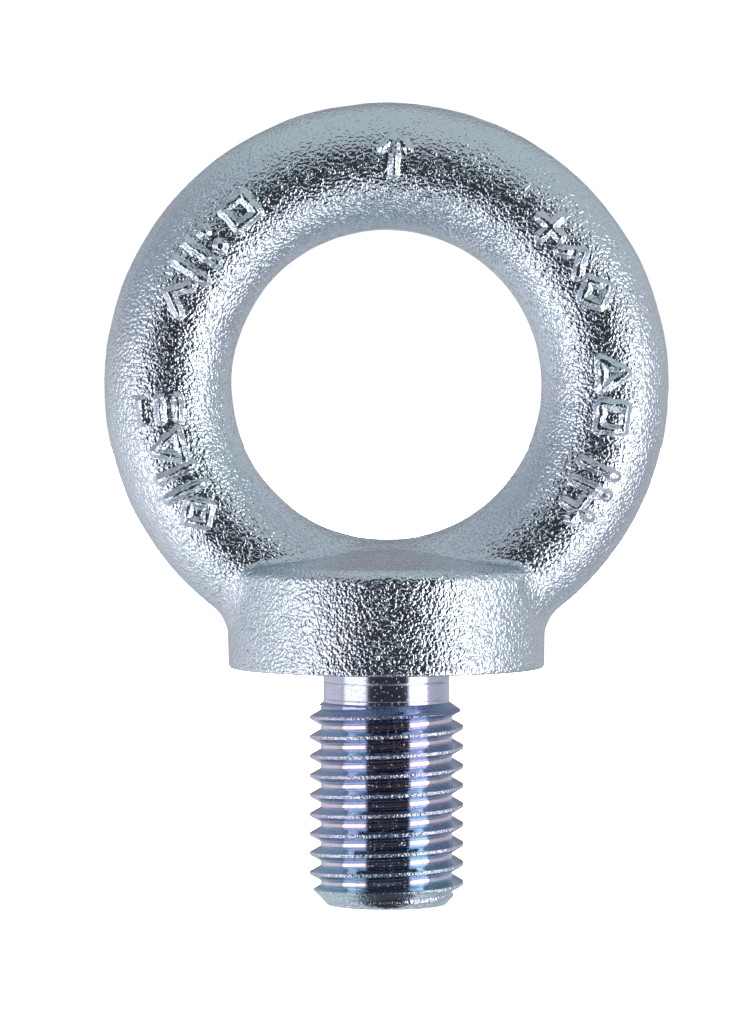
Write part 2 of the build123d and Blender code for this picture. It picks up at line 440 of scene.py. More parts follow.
mark_groups = {
    "load_arrow": [(arrow_sign, 88)],
    "marks_upper_left": [
        (square_sign, 130), (dot_pair_sign, 140), (twin_bar_sign, 147), (chevron_sign, 157)
    ],
    "marks_lower_left": [
        (ladder_sign, 186), (triangle_sign, 196), (twin_bar_sign, 205), (diamond_sign, 214)
    ],
    "marks_upper_right": [(cross_sign, 44), (chevron_sign, 34), (diamond_sign, 24)],
    "marks_right": [(triangle_sign, 3), (square_sign, -8)],
    "marks_lower_right": [(twin_bar_sign, -24), (cross_sign, -33)],
}
print(len(mark_groups), "groups of signs,", sum(len(signs) for signs in mark_groups.values()), "signs")

# %% Relief grids for the signs
mark_wear = wave_sum(1.8 * MM, seed=21)


def distance_to_strokes(across, outwards, sign):
    """Distance from each grid point to the nearest stroke's edge, negative inside a stroke."""
    nearest = np.full(across.shape, 1.0)
    for start, end, half_width in sign:
        run = end - start
        along = (across - start[0]) * run[0] + (outwards - start[1]) * run[1]
        along = np.clip(along / max(run @ run, 1e-12), 0.0, 1.0)
        gap = np.hypot(across - start[0] - along * run[0], outwards - start[1] - along * run[1])
        nearest = np.minimum(nearest, gap - half_width)
    return nearest


def front_of_ring(x, z):
    """Points on the front skin of the ring over (x, z), by halving along Y."""
    near = np.zeros_like(x)
    far = np.full_like(x, -ring_farthest)
    for _ in range(halvings):
        middle = 0.5 * (near + far)
        inside = head_field(np.stack([x, middle, z], axis=-1)) < 0.0
        near = np.where(inside, middle, near)
        far = np.where(inside, far, middle)
    return np.stack([x, 0.5 * (near + far), z], axis=-1)


def faces_of_relief(kept):
    """Faces of a closed relief over the kept cells of a grid: tops, bottoms, and walls round the outside.
    Points are numbered row by row, and the bottom's points follow the top's."""
    rows, columns = kept.shape
    top = np.arange((rows + 1) * (columns + 1)).reshape(rows + 1, columns + 1)
    corner = [top[:-1, :-1], top[1:, :-1], top[1:, 1:], top[:-1, 1:]]
    tops = np.stack([grid[kept] for grid in corner], axis=-1)
    bottoms = tops[:, ::-1] + top.size
    padded = np.pad(kept, 1)
    neighbours = [padded[1:-1, :-2], padded[2:, 1:-1], padded[1:-1, 2:], padded[:-2, 1:-1]]
    walls = []
    for side, neighbour in enumerate(neighbours):
        edge = kept & ~neighbour
        start, end = corner[side][edge], corner[(side + 1) % 4][edge]
        walls.append(np.stack([end, start, start + top.size, end + top.size], axis=-1))
    return np.concatenate([tops, bottoms] + walls)


def sign_relief(sign, degrees):
    """One sign, at an angle round the eye: its points, faces and normals. The top is skin + facing * height,
    where height falls as a smooth step of the distance to the strokes."""
    angle = math.radians(degrees)
    across_axis = np.linspace(-cell_half_width, cell_half_width, round(2 * cell_half_width / mark_grid))
    outward_axis = np.linspace(-cell_half_height, cell_half_height, round(2 * cell_half_height / mark_grid))
    outwards, across = np.meshgrid(outward_axis, across_axis, indexing="ij")
    radius = mark_radius + outwards
    x = radius * math.cos(angle) + across * math.sin(angle)
    z = radius * math.sin(angle) - across * math.cos(angle) + eye_height
    skin, facing = on_forged_skin(front_of_ring(x, z))
    gap = distance_to_strokes(across, outwards, sign) + ragged_edge * mark_wear(skin)
    shoulder = 1.0 - smooth_step(gap, -dome_inside, dome_outside)
    height = mark_relief * shoulder * (1.0 + worn_top * mark_wear(skin + 5.0 * MM))
    sunk = mark_sink * smooth_step(gap, sink_start, mark_foot)
    raised_skin = skin + facing * height[..., None]
    top = raised_skin - facing * sunk[..., None]
    kept = (gap[:-1, :-1] + gap[1:, :-1] + gap[1:, 1:] + gap[:-1, 1:]) / 4 < mark_foot
    quads = faces_of_relief(kept)
    bottom = skin - facing * mark_root
    along_rows, along_columns = np.gradient(raised_skin, axis=0), np.gradient(raised_skin, axis=1)
    normals = np.cross(along_rows, along_columns)
    normals /= np.linalg.norm(normals, axis=-1, keepdims=True)
    normals *= np.sign((normals * facing).sum(axis=-1, keepdims=True))
    points = np.concatenate([top.reshape(-1, 3), bottom.reshape(-1, 3)])
    facings = np.concatenate([normals.reshape(-1, 3), -facing.reshape(-1, 3)])
    used, numbers = np.unique(quads, return_inverse=True)
    return points[used], numbers.reshape(quads.shape), facings[used]


def raised_group(name, signs):
    """Several signs as one piece."""
    parts = [sign_relief(sign, degrees) for sign, degrees in signs]
    starts = np.cumsum([0] + [len(points) for points, _, _ in parts[:-1]])
    points = np.concatenate([part[0] for part in parts])
    quads = np.concatenate([part[1] + start for part, start in zip(parts, starts)])
    normals = np.concatenate([part[2] for part in parts])
    return mesh_object(name, points, quads, np.zeros((0, 3), int), normals)


raised = {group: raised_group("raised_" + group, signs) for group, signs in mark_groups.items()}

# %% [markdown]
# ## Neck
# The neck is turned: a profile spun round the axis. Under the seat it has a small fillet and a fine tool
# line, and it ends in a shallow step just before the thread's run-out. It has a core up inside the collar,
# as its CAD piece has.

# %% Neck
neck_radius = 8.1 * MM
seat_fillet = 0.5 * MM
tool_line_height, tool_line_width, tool_line_depth = -1.75 * MM, 0.09 * MM, 0.05 * MM
step_start, step_end, step_rise = 3.9 * MM, 4.05 * MM, 0.05 * MM
feed_per_turn, lathe_mark_depth = 0.22 * MM, 0.003 * MM
turn_columns = 288


def spun(name, radii, heights):
    """A profile of (radius, height) pairs spun round Z. Its normals are square to the profile's own run."""
    angles = np.linspace(0.0, 2.0 * np.pi, turn_columns, endpoint=False)
    run_r, run_z = np.gradient(radii), np.gradient(heights)
    length = np.hypot(run_r, run_z)
    out_r, out_z = -run_z / length, run_r / length
    around = np.stack([np.cos(angles), np.sin(angles), np.zeros(turn_columns)], axis=-1)
    upwards = np.array([0.0, 0.0, 1.0])
    points = radii[:, None, None] * around + heights[:, None, None] * upwards
    normals = out_r[:, None, None] * around + out_z[:, None, None] * upwards
    return capped_tube(name, points, normals)


def neck_radius_at(height):
    """The neck's radius: a fillet under the seat, a tool line, and a shallow step before the run-out."""
    in_fillet = np.clip((height + seat_fillet) / seat_fillet, 0.0, 1.0)
    fillet = seat_fillet * (1.0 - np.sqrt(1.0 - in_fillet**2))
    tool_line = tool_line_depth * np.exp(-(((height - tool_line_height) / tool_line_width) ** 2))
    step = step_rise * smooth_step(-height, step_start, step_end)
    lathe_marks = lathe_mark_depth * np.sin(2.0 * np.pi * height / feed_per_turn)
    return neck_radius + fillet - tool_line + step + lathe_marks * (height < -seat_fillet)


neck_heights = np.concatenate([[neck_top], np.linspace(0.0, neck_bottom, 150)])
turned_neck = spun("turned_neck", neck_radius_at(np.minimum(neck_heights, 0.0)), neck_heights)

# %% [markdown]
# ## Thread
# An M20 thread climbs 2.5 mm in a turn. Its section repeats every turn: a narrow flat crest, flanks at 30
# degrees to a plane square to the axis, and a rounded root. If the rows of the grid climbed straight round
# the shank, they would cross the crests at a slant and chew them into steps. So every row follows the helix:
# after a full turn a row meets the row one turn above it. The run-out cone at the top and the chamfer at the
# end are a limit on the radius, and rows past either end are drawn up into its rim.

# %% Section of the thread
pitch = 2.5 * MM
crest_phase = -0.19 * MM
root_radius = 8.45 * MM
crest_half_width = 0.18 * MM
crest_ease = 0.04 * MM
root_ease = 0.10 * MM
flank_slope = 1.0 / math.tan(math.radians(30.0))
chamfer_radius = 7.65 * MM
runout_slope = 1.45


def thread_radius_at(offset):
    """Radius of the thread's section at an axial distance from the crest, with its corners eased: the
    flank line held between crest and root by a minimum and a maximum rounded as parabolas."""
    offset = (offset + pitch / 2) % pitch - pitch / 2
    flank = crest_radius - (np.abs(offset) - crest_half_width) * flank_slope
    near_crest = np.maximum(crest_ease - np.abs(flank - crest_radius), 0.0)
    capped = np.minimum(flank, crest_radius) - near_crest**2 / (4.0 * crest_ease)
    near_root = np.maximum(root_ease - np.abs(capped - root_radius), 0.0)
    return np.maximum(capped, root_radius) + near_root**2 / (4.0 * root_ease)


def shank_limit_at(height):
    """The blank's radius: a cone below the neck, the crest, and a 45 degree chamfer at the end."""
    runout = neck_radius + (neck_bottom - height) * runout_slope
    chamfer = chamfer_radius + (height - shank_end)
    return np.minimum(np.minimum(runout, chamfer), crest_radius)


near_crest_rows = [0.0, 0.10, 0.155, 0.17, 0.185, 0.205]
near_root_rows = [0.90, 0.98, 1.02, 1.06, 1.13]
half_section = np.array(near_crest_rows + [0.38, 0.56, 0.74] + near_root_rows) * MM
section = np.concatenate([[-pitch / 2], -half_section[:0:-1], half_section])
print(len(section), "rows in a turn,", turn_columns, "columns round it")

# %% Rows that follow the helix
burr_depth = 0.010 * MM
burr_band = 0.25 * MM
rows_per_turn = len(section)
lowest_turn = math.floor((shank_end - crest_phase) / pitch) - 2
highest_turn = math.ceil((neck_bottom - crest_phase) / pitch) + 1
turn_numbers = np.repeat(np.arange(lowest_turn, highest_turn + 1), rows_per_turn)
offsets = np.tile(section, highest_turn - lowest_turn + 1)

thread_angles = np.linspace(0.0, 2.0 * np.pi, turn_columns, endpoint=False)
turns_climbed = turn_numbers[:, None] + thread_angles / (2.0 * np.pi)
helix_height = crest_phase + pitch * turns_climbed + offsets[:, None]
height = np.clip(helix_height, shank_end, neck_bottom)
burr = wave_sum(0.9 * MM, seed=31)
crest_x = np.broadcast_to(crest_radius * np.cos(thread_angles), height.shape)
crest_y = np.broadcast_to(crest_radius * np.sin(thread_angles), height.shape)
crestness = smooth_step(thread_radius_at(offsets), crest_radius - burr_band, crest_radius)[:, None]
burrs = burr_depth * burr(np.stack([crest_x, crest_y, height], axis=-1)) * crestness
radius = thread_radius_at(offsets)[:, None] + burrs
radius = np.minimum(radius, shank_limit_at(height))
thread_points = np.stack([radius * np.cos(thread_angles), radius * np.sin(thread_angles), height], axis=-1)
print(f"thread from {height.min() / MM:.1f} to {height.max() / MM:.1f} mm, {len(height)} rows")

# %% Faces of the thread, wound a turn at a time
least_height = 1e-9

index = np.arange(height.size).reshape(height.shape)
one_turn_up = np.concatenate([index[rows_per_turn:, 0], np.full(rows_per_turn, -1)])
wound = np.concatenate([index, one_turn_up[:, None]], axis=1)
quads = np.stack([wound[:-1, :-1], wound[:-1, 1:], wound[1:, 1:], wound[1:, :-1]], axis=-1).reshape(-1, 4)
quads = quads[(quads >= 0).all(axis=1)]
quads = quads[np.ptp(height.ravel()[quads], axis=1) > least_height]
end_centres = height.size + np.arange(2)
all_points = np.concatenate([thread_points.reshape(-1, 3), [[0, 0, shank_end], [0, 0, neck_bottom]]])
last = len(height) - 1
bottom_fan = np.stack([np.full(turn_columns, end_centres[0]), np.roll(index[0], -1), index[0]], axis=1)
top_fan = np.stack([np.full(turn_columns, end_centres[1]), index[last], np.roll(index[last], -1)], axis=1)
cut_thread = mesh_object("cut_thread", all_points, quads, np.concatenate([bottom_fan, top_fan]))

# %% [markdown]
# Rows that were drawn up into a rim lie on top of each other there, so doubled points are merged, and every
# edge then has just two faces. Two values are kept at each point for the finish: how deep it lies in the
# groove, from 0 at a crest to 1 at a root, and whether its flank faces up.

# %% Clean the thread's mesh
merge_distance = 0.0005 * MM
depth_in_groove = np.abs(np.concatenate([np.repeat(offsets, turn_columns), [0.0, 0.0]])) / (pitch / 2)
faces_up = np.concatenate([np.repeat(offsets > 0.0, turn_columns), [False, False]])
for name, values in (("groove_depth", depth_in_groove), ("faces_up", faces_up)):
    point_values = cut_thread.data.attributes.new(name, "FLOAT", "POINT")
    point_values.data.foreach_set("value", values.astype(np.float32))
cleaner = bmesh.new()
cleaner.from_mesh(cut_thread.data)
bmesh.ops.remove_doubles(cleaner, verts=cleaner.verts, dist=merge_distance)
loose = [vertex for vertex in cleaner.verts if not vertex.link_faces]
bmesh.ops.delete(cleaner, geom=loose, context="VERTS")
open_edges = sum(1 for edge in cleaner.edges if len(edge.link_faces) != 2)
cleaner.to_mesh(cut_thread.data)
cleaner.free()
print(f"thread: {len(cut_thread.data.polygons)} faces, {open_edges} open edges")

# %% [markdown]
# A cut thread has crisp corners between flat flanks, so each face corner takes its direction from the
# formula on its own side of a corner: the radius is sampled a little way towards the middle of the face,
# where its slope along the axis says how far the normal leans.

# %% Directions for the thread's face corners


def thread_surface_at(angle, height):
    """The cut thread's radius at an angle and a height."""
    offset = height - crest_phase - pitch * angle / (2.0 * np.pi)
    return np.minimum(thread_radius_at(offset), shank_limit_at(height))


def mesh_values(collection, field, width, kind=np.float32):
    """One field of a mesh's vertices, loops or polygons as an array."""
    values = np.empty(len(collection) * width, kind)
    collection.foreach_get(field, values)
    return values.reshape(-1, width) if width > 1 else values


towards_middle = 0.2
small = 0.002 * MM
mesh = cut_thread.data
corner_points = mesh_values(mesh.vertices, "co", 3)[mesh_values(mesh.loops, "vertex_index", 1, np.int32)]
corner_counts = mesh_values(mesh.polygons, "loop_total", 1, np.int32)
face_middles = np.repeat(mesh_values(mesh.polygons, "center", 3), corner_counts, axis=0)
sample = (corner_points + towards_middle * (face_middles - corner_points)).astype(float)
sample_angle = np.arctan2(sample[:, 1], sample[:, 0])
corner_angle = np.arctan2(corner_points[:, 1], corner_points[:, 0]).astype(float)
radius_above = thread_surface_at(sample_angle, sample[:, 2] + small)
radius_below = thread_surface_at(sample_angle, sample[:, 2] - small)
lean = (radius_above - radius_below) / (2.0 * small)
side_normals = np.stack([np.cos(corner_angle), np.sin(corner_angle), -lean], axis=-1)
side_normals /= np.linalg.norm(side_normals, axis=-1, keepdims=True)
above_middle = face_middles[:, 2:] - 0.5 * (shank_end + neck_bottom)
cap_directions = np.sign(above_middle) * np.array([[0.0, 0.0, 1.0]])
on_cap = np.abs(above_middle) > 0.5 * (neck_bottom - shank_end) - small / 4
mesh.normals_split_custom_set(np.where(on_cap, cap_directions, side_normals))
print(f"the normals tip up and down by {math.degrees(math.atan(np.abs(lean).max())):.0f} degrees at most")

# %% [markdown]
# ## Finishes
# The zinc is a metal mirror over an uneven skin. On the forging the fine pebbles tip the mirror this way and
# that, so each spot picks up a different part of the room, and that is what makes the sparkle. The pebbles
# are bump, from noise on two scales. On the turned parts the tool leaves fine rings that follow the thread.
# The passivation film is thinner than a wave of light and tints the metal: pink where it is thin, then
# violet, and blue-green where it is thicker. The effects are node groups, so each finish only sets their
# values.

# %% Node helpers


def new_group(name, inputs, outputs):
    """A shader node group. Returns it with its input and output nodes."""
    group = bpy.data.node_groups.new(name, "ShaderNodeTree")
    for socket, kind, default in inputs:
        item = group.interface.new_socket(socket, in_out="INPUT", socket_type=kind)
        if default is not None:
            item.default_value = default
    for socket, kind in outputs:
        group.interface.new_socket(socket, in_out="OUTPUT", socket_type=kind)
    return group, group.nodes.new("NodeGroupInput"), group.nodes.new("NodeGroupOutput")


def math_node(tree, operation, first, second=None, clamp=False):
    """A Math node fed by sockets or plain numbers. Returns its output socket."""
    node = tree.nodes.new("ShaderNodeMath")
    node.operation = operation
    node.use_clamp = clamp
    for slot_number, value in enumerate((first, second)):
        if value is None:
            continue
        if isinstance(value, (int, float)):
            node.inputs[slot_number].default_value = value
        else:
            tree.links.new(value, node.inputs[slot_number])
    return node.outputs[0]


def ramp_node(tree, value, low, high, to_low=0.0, to_high=1.0):
    """A Map Range node that goes smoothly from low..high to to_low..to_high."""
    node = tree.nodes.new("ShaderNodeMapRange")
    node.interpolation_type = "SMOOTHSTEP"
    tree.links.new(value, node.inputs["Value"])
    node.inputs["From Min"].default_value = low
    node.inputs["From Max"].default_value = high
    node.inputs["To Min"].default_value = to_low
    node.inputs["To Max"].default_value = to_high
    return node.outputs["Result"]


def noise_node(tree, vector, scale, detail, distortion=0.0):
    """A 3-D Noise Texture. scale may be a number or a socket."""
    node = tree.nodes.new("ShaderNodeTexNoise")
    tree.links.new(vector, node.inputs["Vector"])
    if isinstance(scale, (int, float)):
        node.inputs["Scale"].default_value = scale
    else:
        tree.links.new(scale, node.inputs["Scale"])
    node.inputs["Detail"].default_value = detail
    node.inputs["Distortion"].default_value = distortion
    return node.outputs["Fac"]


def mix_colour(tree, factor, first, second, blend="MIX"):
    """A Mix node for colours. Each of first and second is a socket or a list of three numbers."""
    node = tree.nodes.new("ShaderNodeMix")
    node.data_type = "RGBA"
    node.blend_type = blend
    if isinstance(factor, (int, float)):
        node.inputs["Factor"].default_value = factor
    else:
        tree.links.new(factor, node.inputs["Factor"])
    for name, value in (("A", first), ("B", second)):
        socket = [item for item in node.inputs if item.name == name and item.type == "RGBA"][0]
        if isinstance(value, (list, tuple)):
            socket.default_value = (*value, 1.0)
        else:
            tree.links.new(value, socket)
    return [item for item in node.outputs if item.type == "RGBA"][0]


print("node helpers ready")

# %% [markdown]
# ### Blasted pebbles
# Shot leaves shallow round dimples of a fraction of a millimetre, in two sizes. Two noises give them, and
# their lowest spots are handed out as pits, where the metal is painted a little darker as shade.

# %% Shared effect: blasted pebbles
pebble_scale = 2600.0
fine_to_broad_scale = 1.9
fine_share = 0.30
pit_edge, pit_floor = 0.50, 0.38
pebble_group, entry, leave = new_group(
    "blasted_pebbles",
    [("Vector", "NodeSocketVector", None), ("Scale", "NodeSocketFloat", pebble_scale)],
    [("Height", "NodeSocketFloat"), ("Pits", "NodeSocketFloat")],
)
place, broad_scale = entry.outputs["Vector"], entry.outputs["Scale"]
fine_scale = math_node(pebble_group, "MULTIPLY", broad_scale, fine_to_broad_scale)
broad = noise_node(pebble_group, place, broad_scale, detail=0.0, distortion=0.4)
fine = noise_node(pebble_group, place, fine_scale, detail=0.0)
fine_part = math_node(pebble_group, "MULTIPLY", fine, fine_share)
total = math_node(pebble_group, "ADD", broad, fine_part)
pebble_group.links.new(total, leave.inputs["Height"])
pebble_group.links.new(ramp_node(pebble_group, total, pit_edge, pit_floor), leave.inputs["Pits"])
print("group", pebble_group.name)

# %% [markdown]
# ### Grains in the plating
# Here and there a grain stands up from the bright zinc on the turned parts. Only the highest peaks of a
# noise are kept, so the grains are few and apart.

# %% Shared effect: grains in the plating
grain_scale = 3600.0
grain_foot, grain_top = 0.71, 0.79
grain_group, entry, leave = new_group(
    "plating_grains",
    [("Vector", "NodeSocketVector", None), ("Scale", "NodeSocketFloat", grain_scale)],
    [("Height", "NodeSocketFloat")],
)
grain_noise = noise_node(grain_group, entry.outputs["Vector"], entry.outputs["Scale"], detail=0.0)
grain_group.links.new(ramp_node(grain_group, grain_noise, grain_foot, grain_top), leave.inputs["Height"])
print("group", grain_group.name)

# %% [markdown]
# ### The passivation film
# The colour of a thin film follows its thickness. So one number stands for the thickness: a slow cloud, more
# towards the end of the shank where the bath drains last, and an offset that each finish chooses. A colour
# ramp turns it into a tint, which multiplies the metal's own colour.

# %% Shared effect: the passivation film's tint
cloud_scale = 95.0
cloud_share, low_end_share = 0.85, 0.20
film_thickens_at, film_thickest_at = -16.0 * MM, -29.0 * MM
film_colours = [
    (0.30, (1.0, 0.80, 0.90)),  # pink
    (0.50, (0.88, 0.83, 1.0)),  # violet
    (0.72, (0.83, 0.95, 1.0)),  # teal
    (0.90, (0.76, 1.0, 0.95)),  # green
]
tint_group, entry, leave = new_group(
    "passivation_tint",
    [
        ("Vector", "NodeSocketVector", None),
        ("Metal", "NodeSocketColor", (0.7, 0.7, 0.7, 1.0)),
        ("Amount", "NodeSocketFloat", 0.5),
        ("Thicker", "NodeSocketFloat", 0.0),
    ],
    [("Color", "NodeSocketColor")],
)
cloud = noise_node(tint_group, entry.outputs["Vector"], cloud_scale, detail=2.0, distortion=0.3)
position = tint_group.nodes.new("ShaderNodeSeparateXYZ")
tint_group.links.new(entry.outputs["Vector"], position.inputs[0])
lower = ramp_node(tint_group, position.outputs["Z"], film_thickens_at, film_thickest_at)
clouded = math_node(tint_group, "MULTIPLY", cloud, cloud_share)
film = math_node(tint_group, "ADD", clouded, math_node(tint_group, "MULTIPLY", lower, low_end_share))
film = math_node(tint_group, "ADD", film, entry.outputs["Thicker"])
film_ramp = tint_group.nodes.new("ShaderNodeValToRGB")
film_stops = film_ramp.color_ramp.elements
for stop, (thickness, colour) in zip((film_stops[0], film_stops[1]), film_colours[:2]):
    stop.position = thickness
    stop.color = (*colour, 1.0)
for thickness, colour in film_colours[2:]:
    film_stops.new(thickness).color = (*colour, 1.0)
tint_group.links.new(film, film_ramp.inputs["Fac"])
tinted = mix_colour(tint_group, entry.outputs["Amount"], (1.0, 1.0, 1.0), film_ramp.outputs["Color"])
product = mix_colour(tint_group, 1.0, entry.outputs["Metal"], tinted, "MULTIPLY")
tint_group.links.new(product, leave.inputs["Color"])
print("group", tint_group.name)

# %% [markdown]
# ### Finish of the forging
# The ring and the collar share one finish, and the raised marks have the same finish with a lower bump and
# more roughness, because their tops are worn. The base colour is zinc, tinted by the film and painted
# darker in the pits as shade. Slow patches change the roughness a little, as on any blasted casting or
# forging.

# %% Finish of the forging
forged_metal = (0.70, 0.755, 0.79)
forged_tint, forged_film = 0.25, 0.12
# The pit metal is painted shade: the lowest spots of the pebbles are painted darker.
pit_shade_metal = (0.45, 0.49, 0.53)
pit_shade_share = 0.35
patch_scale = 260.0
patch_roughness = 0.08


def metal_material(name):
    """A material with only a metallic Principled shader. Returns it with its node tree and the shader."""
    material = bpy.data.materials.new(name)
    material.use_nodes = True
    shader = material.node_tree.nodes["Principled BSDF"]
    shader.inputs["Metallic"].default_value = 1.0
    return material, material.node_tree, shader


def group_node(tree, group, **values):
    """Places a node group and sets its inputs from numbers, colours or sockets."""
    node = tree.nodes.new("ShaderNodeGroup")
    node.node_tree = group
    for name, value in values.items():
        if isinstance(value, bpy.types.NodeSocket):
            tree.links.new(value, node.inputs[name])
        else:
            node.inputs[name].default_value = value
    return node


def forged_finish(name, pebble_depth, least_roughness):
    """Zinc over a blasted forging. pebble_depth is the bump's height in metres."""
    material, tree, shader = metal_material(name)
    place = tree.nodes.new("ShaderNodeTexCoord").outputs["Object"]
    peel = group_node(tree, pebble_group, Vector=place, Scale=pebble_scale)
    film = group_node(tree, tint_group, Vector=place, Metal=(*forged_metal, 1.0))
    film.inputs["Amount"].default_value = forged_tint
    film.inputs["Thicker"].default_value = forged_film
    # Painted shade: the zinc is mixed towards the darker pit metal in the pits.
    pits = math_node(tree, "MULTIPLY", peel.outputs["Pits"], pit_shade_share)
    zinc = mix_colour(tree, pits, film.outputs["Color"], pit_shade_metal)
    tree.links.new(zinc, shader.inputs["Base Color"])
    patches = noise_node(tree, place, patch_scale, detail=3.0)
    roughness = ramp_node(tree, patches, 0.35, 0.7, least_roughness, least_roughness + patch_roughness)
    tree.links.new(roughness, shader.inputs["Roughness"])
    bump = tree.nodes.new("ShaderNodeBump")
    bump.inputs["Strength"].default_value = 1.0
    bump.inputs["Distance"].default_value = pebble_depth
    tree.links.new(peel.outputs["Height"], bump.inputs["Height"])
    tree.links.new(bump.outputs["Normal"], shader.inputs["Normal"])
    return material


forged_zinc = forged_finish("forged_zinc", pebble_depth=0.175 * MM, least_roughness=0.10)
raised_marks = forged_finish("raised_marks", pebble_depth=0.10 * MM, least_roughness=0.16)
print("finishes", forged_zinc.name, raised_marks.name)

# %% [markdown]
# ### Finish of the turned parts
# Neck and thread share one finish. The two values stored on the thread pick out its crests, flanks and
# roots, and the height picks out the run-out and the chamfer. The neck has no stored values, so they read 0
# there. Each region has its own metal and its own share of film: the flanks are blue, the roots pink to
# violet. The flanks are given a darker metal as painted shade, darker still where they face up, and the
# run-out cone a dark blue metal as painted shade. The crests and the chamfer are torn by the tool, so they
# are rougher and have pebbles.

# %% Regions of the turned parts
turned_zinc, tree, shader = metal_material("turned_zinc")
place = tree.nodes.new("ShaderNodeTexCoord").outputs["Object"]
groove = tree.nodes.new("ShaderNodeAttribute")
groove.attribute_name = "groove_depth"
upper = tree.nodes.new("ShaderNodeAttribute")
upper.attribute_name = "faces_up"
level = tree.nodes.new("ShaderNodeSeparateXYZ")
tree.links.new(place, level.inputs[0])

root_starts, root_full = 0.62, 0.86
crest_ends, flank_starts = 0.13, 0.22
runout_ends, runout_full = -6.3 * MM, -5.7 * MM
chamfer_starts, chamfer_full = -28.1 * MM, -28.4 * MM
in_root = ramp_node(tree, groove.outputs["Fac"], root_starts, root_full)
off_crest = ramp_node(tree, groove.outputs["Fac"], crest_ends, flank_starts)
is_thread = ramp_node(tree, groove.outputs["Fac"], 0.001, 0.002)
on_neck = math_node(tree, "SUBTRACT", 1.0, is_thread, clamp=True)
on_crest = math_node(tree, "SUBTRACT", is_thread, off_crest, clamp=True)
on_flank = math_node(tree, "SUBTRACT", off_crest, in_root, clamp=True)
high_up = ramp_node(tree, level.outputs["Z"], runout_ends, runout_full)
on_runout = math_node(tree, "MULTIPLY", is_thread, high_up)
on_chamfer = ramp_node(tree, level.outputs["Z"], chamfer_starts, chamfer_full)
rough_parts = math_node(tree, "MAXIMUM", on_crest, on_chamfer)
print("regions: neck, crest, flank, root, run-out, chamfer")

# %% Colour and gloss of the turned parts
# Painted shade: the flank metals are darker than the groove's, and the up-facing flank is darker still.
shaded_flank_down_metal = (0.49, 0.57, 0.66)
shaded_flank_up_metal = (0.40, 0.48, 0.57)
groove_metal = (0.76, 0.775, 0.82)
# Painted shade: the run-out cone is given a dark blue metal.
shaded_runout_metal = (0.34, 0.43, 0.57)
chamfer_metal = (0.84, 0.88, 0.90)
neck_metal = (0.69, 0.715, 0.76)
streak_metal = (0.42, 0.47, 0.56)
turned_tint, flank_film, root_film, neck_film = 0.72, 0.20, -0.12, 0.06
smooth_roughness, torn_roughness, neck_extra_roughness = 0.07, 0.25, 0.08
along_the_tool = (0.10, 0.10, 1.0)
streak_scale, streak_share = 3300.0, 0.35

# The flank's painted shade is picked by whether the flank faces up.
shaded_flank_metal = mix_colour(tree, upper.outputs["Fac"], shaded_flank_down_metal, shaded_flank_up_metal)
metal = mix_colour(tree, on_flank, groove_metal, shaded_flank_metal)
for region, region_metal in ((on_runout, shaded_runout_metal), (on_chamfer, chamfer_metal), (on_neck, neck_metal)):
    metal = mix_colour(tree, region, metal, region_metal)
thicker = math_node(tree, "MULTIPLY", on_flank, flank_film)
for region, more_film in ((in_root, root_film), (on_neck, neck_film)):
    thicker = math_node(tree, "ADD", thicker, math_node(tree, "MULTIPLY", region, more_film))
film = group_node(tree, tint_group, Vector=place, Metal=metal, Amount=turned_tint, Thicker=thicker)
stretched = tree.nodes.new("ShaderNodeMapping")
stretched.inputs["Scale"].default_value = along_the_tool
tree.links.new(place, stretched.inputs["Vector"])
streak_noise = noise_node(tree, stretched.outputs["Vector"], streak_scale, detail=1.0)
streaks = ramp_node(tree, streak_noise, 0.5, 0.72, 0.0, streak_share)
streaked = mix_colour(tree, streaks, film.outputs["Color"], streak_metal)
tree.links.new(streaked, shader.inputs["Base Color"])
roughness = ramp_node(tree, rough_parts, 0.0, 1.0, smooth_roughness, torn_roughness)
neck_haze = math_node(tree, "MULTIPLY", on_neck, neck_extra_roughness)
roughness = math_node(tree, "ADD", roughness, neck_haze)
tree.links.new(roughness, shader.inputs["Roughness"])
print("finish", turned_zinc.name)

# %% Scratches, grains and torn crests
scratch_mm, grain_mm, torn_mm = 0.005, 0.03, 0.24
scratch_scale, torn_scale = 4600.0, 2800.0
scratches = noise_node(tree, stretched.outputs["Vector"], scratch_scale, detail=2.0)
grains = group_node(tree, grain_group, Vector=place, Scale=grain_scale)
crest_pebbles = math_node(tree, "SUBTRACT", noise_node(tree, place, torn_scale, detail=1.0), 0.5)
torn = math_node(tree, "MULTIPLY", crest_pebbles, rough_parts)
height_mm = math_node(tree, "MULTIPLY", scratches, scratch_mm)
for part, depth_mm in ((grains.outputs["Height"], grain_mm), (torn, torn_mm)):
    height_mm = math_node(tree, "ADD", height_mm, math_node(tree, "MULTIPLY", part, depth_mm))
bump = tree.nodes.new("ShaderNodeBump")
bump.inputs["Strength"].default_value = 1.0
bump.inputs["Distance"].default_value = MM
tree.links.new(height_mm, bump.inputs["Height"])
tree.links.new(bump.outputs["Normal"], shader.inputs["Normal"])
print(f"scratches {scratch_mm} mm, grains {grain_mm} mm, torn crests {torn_mm} mm")

# %% [markdown]
# ## Fitting
# Each piece takes the place of the CAD piece of the same region. Nothing on the bolt moves, so all of them
# ride on its one body.

# %% Give the pieces their finish and body, and hide the CAD pieces
fittings = [
    (eye_ring, "eye_ring", forged_zinc, "forged_zinc"),
    (collar, "collar", forged_zinc, "forged_zinc"),
    (turned_neck, "thread_neck", turned_zinc, "turned_zinc"),
    (cut_thread, "threaded_shank", turned_zinc, "turned_zinc"),
] + [(piece, group, raised_marks, "raised_marks") for group, piece in raised.items()]

